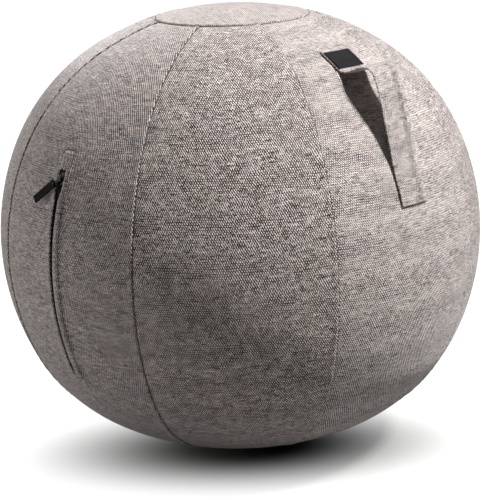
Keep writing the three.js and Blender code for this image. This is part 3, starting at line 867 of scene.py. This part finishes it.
hood_low = stitch_top - corner_reach
foot_high = stitch_bottom + corner_reach
hook = [(-stitch_left, zip_top - park_length * hook_down_share), (-stitch_left, hood_low)]
hook += quarter((corner_reach - stitch_left, hood_low), math.pi)
hook += quarter((stitch_right - corner_reach, hood_low), math.pi / 2)
outer_row = [(stitch_right, height) for height in np.linspace(hood_low, foot_high, outer_row_steps)]
outer_row += quarter((stitch_right - corner_reach, foot_high), 0)
outer_row.append((-stitch_left / 2, stitch_bottom))
inner_place = stitch_right - inner_row_in
inner_row = [(inner_place, height) for height in np.linspace(zip_top, zip_bottom, inner_row_steps)]
sew("zip_hood_stitches", *on_placket(hook), painted_shade_thread_paint, zip_stitch_length, hood_thread_radius)
sew("zip_stitches", *on_placket(outer_row), length=zip_stitch_length, radius=zip_thread_radius)
sew("zip_inner_stitches", *on_placket(inner_row), radius=zip_thread_radius)


# Base
# A black hard-wearing round that the ball stands on, turned up at its rim to meet the gores, with a
# dished pad inside it that stops the ball from rolling.
base_corner = 0.007
base_corner_steps = 6
base_corners = 96
base_insets = (0.012, 0.016, 0.018)
base_thickness = 0.0025
base_rim = float(outline(base_angle)[1]) - ring_gap
base_yarn = 0.9
base_slub = 6
base_black, base_grey = (0.008, 0.008, 0.009, 1), (0.045, 0.044, 0.046, 1)


def base_cloth():
    paint = Paint("base_cloth", Roughness=0.85, Sheen_Weight=0.15)
    x, y, z = paint.place()
    warp, weft = (x + z * 0.3) / base_yarn, (y + z * 0.3) / base_yarn
    over = ((warp + weft) / 2).wave().step(0.4, 0.6)
    bulge = warp.wave() * over + weft.wave() * (1 - over)
    yarn = paint.noise(x / base_slub, y / base_yarn)
    colour = paint.mix(bulge * 0.5 + yarn * 0.5, base_black, base_grey)
    return paint.dress(colour, height=bulge, depth=0.0004)


def base_round():
    """The flat middle of the base, in rings, with its faces down and its rim selected."""
    bpy.ops.object.select_all(action="DESELECT")
    flat_radius = base_radius - base_corner
    bpy.ops.mesh.primitive_circle_add(vertices=base_corners, radius=flat_radius, fill_type="NGON")
    piece = bpy.context.object
    piece.name = "base_panel_cloth"
    bpy.ops.object.mode_set(mode="EDIT")
    bpy.ops.mesh.select_mode(type="FACE")
    bpy.ops.mesh.select_all(action="SELECT")
    bpy.ops.mesh.flip_normals()
    for inset in base_insets:
        bpy.ops.mesh.inset(thickness=inset)
    bpy.ops.mesh.poke()
    bpy.ops.object.mode_set(mode="OBJECT")
    bpy.ops.object.mode_set(mode="EDIT")
    bpy.ops.mesh.select_mode(type="EDGE")
    bpy.ops.mesh.select_all(action="DESELECT")
    bpy.ops.mesh.select_non_manifold()
    return piece


base = base_round()
for k in range(base_corner_steps):
    low, high = (math.pi / 2 * step / base_corner_steps for step in (k, k + 1))
    inner = base_radius - base_corner + base_corner * math.sin(low)
    outer = base_radius - base_corner + base_corner * math.sin(high)
    lift = base_corner * (math.cos(low) - math.cos(high))
    if k == base_corner_steps - 1:
        lift = base_rim - base_corner * (1 - math.cos(low))
    bpy.ops.mesh.extrude_edges_move(TRANSFORM_OT_translate={"value": (0, 0, lift)})
    bpy.ops.transform.resize(value=(outer / inner, outer / inner, 1))
bpy.ops.object.mode_set(mode="OBJECT")
thicken(base, base_thickness)
finish_piece(base, base_cloth(), "base_fabric", "base_panel")


# Carry handle
# A doubled strap of the same twill with stitched edges, and a darker band in its weave right of the middle.
# It is sewn to the cover at both ends and arches off it between them, and the label covers its upper end.
strap_left = 0.0245
strap_right = 0.022
strap_thickness = 0.0034
strap_columns, strap_rows = 28, 190
strap_bevel = 0.0011
strap_hem = 0.0042
dark_band_offset = 0.0092
strap_shift = (9.3, 1.7)
solid_strap_gap = 0.0003
solid_strap_thickness = 0.0035
strap_seat = solid_strap_gap + solid_strap_thickness / 2
strap_start = math.radians(14.3)
strap_end = math.radians(60.4)
hem_reach = 0.0008
hem_pinch = 0.22
edge_reach = 0.006
edge_share = 0.3
ripple_height = 0.00012
ripple_pitch = 0.0016
ripple_place = 0.0035
ripple_reach = 0.003
end_stitch_height = 0.82
end_stitch_steps = 60
run_step = 0.0005
line_steps = 1201
fine_steps = 4000
handle_turn = 2 * panel_turn

# How much of its full height the arch has, by the degrees up the ball.
arch_lift = 0.038
arch_shares = [
    (21, 0), (24, 0.05), (28.5, 0.2), (34.6, 0.46), (39.5, 0.74), (42.7, 0.93), (44.6, 1),
    (46.3, 0.95), (47.9, 0.75), (49.2, 0.45), (50.6, 0.16), (52.2, 0.02), (53.6, 0),
]


def smooth_line(points):
    """An even line of places through points, by a curve that doesn't overshoot, and its length."""
    gaps = np.sqrt(np.linalg.norm(np.diff(points, axis=0), axis=1))
    knots = np.concatenate([[0], np.cumsum(gaps)])
    slopes = np.empty_like(points)
    slopes[0] = (points[1] - points[0]) / gaps[0]
    slopes[-1] = (points[-1] - points[-2]) / gaps[-1]
    for k in range(1, len(points) - 1):
        before = (points[k] - points[k - 1]) / gaps[k - 1]
        after = (points[k + 1] - points[k]) / gaps[k]
        slopes[k] = (before * gaps[k] + after * gaps[k - 1]) / (gaps[k] + gaps[k - 1])
    fine = np.linspace(0, knots[-1], fine_steps)
    piece = np.clip(np.searchsorted(knots, fine, side="right") - 1, 0, len(gaps) - 1)
    size = gaps[piece][:, None]
    t = ((fine - knots[piece]) / gaps[piece])[:, None]
    line = (
        (2 * t**3 - 3 * t**2 + 1) * points[piece] + (t**3 - 2 * t**2 + t) * size * slopes[piece]
        + (3 * t**2 - 2 * t**3) * points[piece + 1] + (t**3 - t**2) * size * slopes[piece + 1]
    )
    travel = travel_along(line)
    return on_line(np.linspace(0, travel[-1], line_steps), travel, line), travel[-1]


def seated(first, last):
    """Three places on the cover, from one angle towards another."""
    return [outline(first + (last - first) * k / 3, strap_seat) for k in range(3)]


arch = [outline(math.radians(rise), strap_seat + share * arch_lift) for rise, share in arch_shares]
route = seated(strap_start, math.radians(arch_shares[0][0])) + arch
route += seated(strap_end, math.radians(arch_shares[-1][0]))[::-1]
strap_line, strap_length = smooth_line(np.array([(float(r), float(z)) for r, z in route]))
strap_spots = np.linspace(0, strap_length, line_steps)


def along_strap(across, along, out):
    """The place on the handle's line, bent across as the ball is."""
    r, z = on_line(along, strap_spots, strap_line).T
    ahead = on_line(np.clip(along + run_step, 0, strap_length), strap_spots, strap_line)
    behind = on_line(np.clip(along - run_step, 0, strap_length), strap_spots, strap_line)
    run_r, run_z = unit(ahead - behind).T
    far = np.sqrt(r * r - across * across) + out * run_z
    x = far * math.sin(handle_turn) + across * math.cos(handle_turn)
    y = -far * math.cos(handle_turn) + across * math.sin(handle_turn)
    return np.stack([x, y, z - out * run_r], axis=-1)


def bend_strap(piece):
    """Thins the strap at its edges and hems, where it is sewn, and bends it onto its line."""
    across, along, out = corners(piece).T
    from_edge = np.minimum(across + strap_left, strap_right - across)
    from_end = np.minimum(along, strap_length - along)
    sewn = bell(from_edge - strap_hem, hem_reach)
    sewn += bell(from_end - strap_hem, hem_reach) * (from_edge > strap_hem)
    thinned = edge_share + (1 - edge_share) * np.sqrt(np.clip(from_edge / edge_reach, 0, 1))
    pinch = thinned * (1 - hem_pinch * np.minimum(sewn, 1))
    ripple = ripple_height * np.sin(along / ripple_pitch) * bell(from_edge - ripple_place, ripple_reach)
    set_corners(piece, along_strap(across, along, out * pinch + ripple))


strap = flat_strip(
    "handle_strap_cloth", strap_columns, strap_rows, strap_left, strap_right, 0, strap_length
)
mark_cloth(strap, strap_shift)
thicken(strap, strap_thickness, 0)
round_edges(strap, strap_bevel, 3)
bend_strap(strap)
# The strap's twill is darker along a band 9.2 mm right of its middle.
dark_band_place = (strap_shift[0] + dark_band_offset) * 1000
# Painted light: the strap takes the paler setting and yarn of the lit panel under it.
strap_paint = twill("strap_twill", 0.46, 1.4, 0.4, lit_side_pale_yarn, dark_band_place)
finish_piece(strap, strap_paint, "cover_fabric", "handle_strap")

end_row = np.linspace(strap_hem - strap_left, strap_right - strap_hem, end_stitch_steps)
end_along = np.full_like(end_row, strap_hem)
end_places = along_strap(end_row, end_along, strap_thickness / 2 * end_stitch_height)
sew("handle_end_stitches", end_places, end_places - along_strap(end_row, end_along, 0.0))


# Label
# A black woven label, bare, sewn over the strap's upper end.
label_left = 0.0232
label_right = 0.0208
label_start = math.radians(52.7)
label_end = math.radians(59.4)
label_columns, label_rows = 24, 18
label_thickness = 0.0008
label_bevel = 0.0003
label_seat = 0.0019
label_rib = 0.55
label_slub = 3
label_black, label_grey = (0.002, 0.002, 0.0025, 1), (0.012, 0.012, 0.014, 1)


def label_cloth():
    paint = Paint("label_satin", Roughness=0.7, Specular_IOR_Level=0.08)
    across, along = paint.cloth_place()
    rib = (along / label_rib).wave()
    yarn = paint.noise(across / label_slub, along / label_rib)
    colour = paint.mix(rib * 0.4 + yarn * 0.6, label_black, label_grey)
    return paint.dress(colour, height=rib, depth=0.00015)


def strap_place(angle):
    """The distance along the strap of an angle under its upper end, where it lies on the ball."""
    return strap_length - float(length_at(strap_end) - length_at(angle))


label_low, label_high = strap_place(label_start), strap_place(label_end)
label = flat_strip(
    "handle_label_cloth", label_columns, label_rows, label_left, label_right, label_low, label_high
)
mark_cloth(label)
thicken(label, label_thickness, 0)
round_edges(label, label_bevel, 2)
label_across, label_along, label_out = corners(label).T
set_corners(label, along_strap(label_across, label_along, label_seat + label_thickness / 2 + label_out))
finish_piece(label, label_cloth(), "label_fabric", "handle_label")


# Zip
# A coil zip: two woven tapes sewn behind the slit, and a row of nylon loops along the edge of each,
# pressed together in the middle. All of it is black.
chain_out = -0.00235
coil_half = 0.0036
coil_inner = 0.0009
coil_overlap = 0.0003
coil_radius = 0.00042
coil_rise = 0.00055
coil_pitch = 0.0013
coil_steps = 10
wire_sides = 6
tape_columns, tape_rows = 12, 90
tape_thickness = 0.0006
tape_gap = 0.0003
tape_reach = 0.016
tape_sewn_out = -0.0036
tape_rib = 0.6
tape_cord = 2.4
zip_stop = 0.0033
nylon_grain = 0.5
tape_black, tape_grey = (0.006, 0.006, 0.007, 1), (0.03, 0.03, 0.032, 1)
nylon_black, nylon_grey = (0.008, 0.008, 0.008, 1), (0.03, 0.03, 0.03, 1)

# How far a tape has sunk to where it is sewn, by the share of its width from the coil.
sunk_shares = [(0.0, 0.0), (0.35, 0.0), (0.62, 1.0), (1.0, 1.0)]


def zip_cloth():
    paint = Paint("zip_tape_weave", Roughness=0.85, Sheen_Weight=0.15)
    across, along = paint.cloth_place()
    ribs = (along / tape_rib + (across / tape_cord).wave() * 2).wave()
    return paint.dress(paint.mix(ribs, tape_black, tape_grey), height=ribs, depth=0.0002)


def nylon():
    paint = Paint("black_nylon", Roughness=0.4)
    scuff = paint.grain(nylon_grain)
    return paint.dress(paint.mix(scuff, nylon_black, nylon_grey), scuff * 0.25 + 0.3)


def lay_tape(name, side, paint):
    """One tape, which lies at the chain's level beside the coil and sinks to where it is sewn."""
    tape = flat_grid(f"zip_tape_{name}_cloth", tape_columns, tape_rows)
    flat = corners(tape)
    share = (flat[:, 0] + 1) / 2
    flat[:, 0] = coil_half + tape_gap + share * (tape_reach - coil_half)
    flat[:, 1] = zip_bottom + (flat[:, 1] + 1) / 2 * (zip_top - zip_bottom)
    set_corners(tape, flat)
    mark_cloth(tape)
    sunk = round_step(table_at(sunk_shares, share))
    angle = angle_at(flat[:, 1])
    turns = side * flat[:, 0] / outline(angle)[0]
    out = chain_out + sunk * (tape_sewn_out - chain_out) + tape_thickness / 2
    set_corners(tape, on_ball(turns, angle, out))
    if side < 0:
        tape.data.flip_normals()
    thicken(tape, tape_thickness)
    finish_piece(tape, paint, "zip_tape", f"zip_tape_{name}")


def wire_tube(wire):
    """The corners and faces of a closed tube along a line of places."""
    ahead = unit(np.gradient(wire, axis=0))
    first = unit(np.cross(ahead, np.array([1.0, 0, 0])))
    second = np.cross(ahead, first)
    ring = (np.arange(wire_sides) / wire_sides * math.tau)[None, :, None]
    places = wire[:, None] + coil_radius * (np.cos(ring) * first[:, None] + np.sin(ring) * second[:, None])
    faces = []
    for k in range(len(wire) - 1):
        here, there = k * wire_sides, (k + 1) * wire_sides
        for s in range(wire_sides):
            other = (s + 1) % wire_sides
            faces.append([here + s, here + other, there + other, there + s])
    last = (len(wire) - 1) * wire_sides
    faces += [list(range(wire_sides))[::-1], [last + s for s in range(wire_sides)]]
    return places.reshape(-1, 3), faces


def wind_coil(name, side, paint):
    """One coil, whose loops lie half a turn off the other's where they meet."""
    loops = int((zip_top - zip_bottom - 2 * zip_stop) / coil_pitch)
    run = np.arange(loops * coil_steps + 1)
    phase = run / coil_steps * math.tau + (0 if side < 0 else math.pi)
    middle = (coil_half + coil_inner) / 2 - coil_overlap
    across = side * (middle + np.cos(phase) * ((coil_half - coil_inner) / 2))
    angle = angle_at(zip_bottom + zip_stop + run / coil_steps * coil_pitch)
    wire = on_ball(across / outline(angle)[0], angle, chain_out + np.sin(phase) * coil_rise)
    coil = new_mesh(f"zip_coil_{name}_wire", *wire_tube(wire))
    finish_piece(coil, paint, "zip_plastic", f"zip_coil_{name}")


zip_tape_paint = zip_cloth()
nylon_paint = nylon()
for name, side in (("left", -1), ("right", 1)):
    lay_tape(name, side, zip_tape_paint)
    wind_coil(name, side, nylon_paint)


# Carried-over pieces
# Small rigid pieces and the hidden ones inside keep their solids and take a finish of their own. Grain
# sizes are in millimetres.
def enamel():
    paint = Paint("black_enamel", Specular_IOR_Level=0.12)
    wear = paint.grain(1.5, 4.0)
    colour = paint.mix(wear.step(0.62, 0.7), (0.003, 0.003, 0.0035, 1), (0.014, 0.014, 0.013, 1))
    return paint.dress(colour, wear * 0.3 + 0.3, height=wear, depth=0.00004)


def pull_rubber():
    paint = Paint("pull_rubber", Specular_IOR_Level=0.03)
    grain = paint.grain(0.25, 3.0)
    colour = paint.mix(grain, (0.002, 0.002, 0.0025, 1), (0.011, 0.011, 0.012, 1))
    return paint.dress(colour, grain * 0.3 + 0.5, height=grain, depth=0.0001)


def woven_tape():
    paint = Paint("seam_tape_weave", Roughness=0.9, Sheen_Weight=0.2)
    x, y, z = paint.place()
    rib = (z / 1.4 + (x + y) / 6).wave()
    share = rib * 0.5 + paint.noise(x, y, z) * 0.5
    colour = paint.mix(share, (0.06, 0.05, 0.045, 1), (0.15, 0.13, 0.115, 1))
    return paint.dress(colour, height=rib, depth=0.0003)


def ball_rubber():
    paint = Paint("ball_rubber")
    rib = (paint.place()[2] / 12).wave().step(0.8, 1.0)
    speck = paint.grain(2, 4.0)
    colour = paint.mix(speck, (0.2, 0.21, 0.225, 1), (0.32, 0.33, 0.35, 1))
    return paint.dress(colour, speck * 0.2 + 0.4, height=rib + speck * 0.1, depth=0.0006)


def valve_plastic():
    paint = Paint("valve_plastic")
    cloud = paint.grain(3)
    colour = paint.mix(cloud, (0.7, 0.68, 0.63, 1), (0.82, 0.8, 0.76, 1))
    return paint.dress(colour, cloud * 0.2 + 0.3, height=cloud, depth=0.00005)


def pad_foam():
    paint = Paint("pad_foam", Roughness=0.9)
    cells = paint.grain(1 / 1.5, 4.0)
    colour = paint.mix(cells, (0.02, 0.02, 0.022, 1), (0.06, 0.06, 0.064, 1))
    return paint.dress(colour, height=cells, depth=0.0005)


tape_nodes = [f"seam_tape_{k}" for k in range(1, panel_count + 1)]
carried = [
    (enamel(), ["zip_slider", "pull_link", "zip_top_stop_left", "zip_top_stop_right", "zip_bottom_stop"]),
    (pull_rubber(), ["pull_tab"]),
    (woven_tape(), [*tape_nodes, "top_seam_ring", "handle_patch_lower", "handle_patch_upper"]),
    (ball_rubber(), ["inner_ball"]),
    (valve_plastic(), ["valve_seat", "valve_plug"]),
    (pad_foam(), ["base_insert"]),
]
for paint, nodes in carried:
    for node in nodes:
        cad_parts[node].data.materials.clear()
        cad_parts[node].data.materials.append(paint)
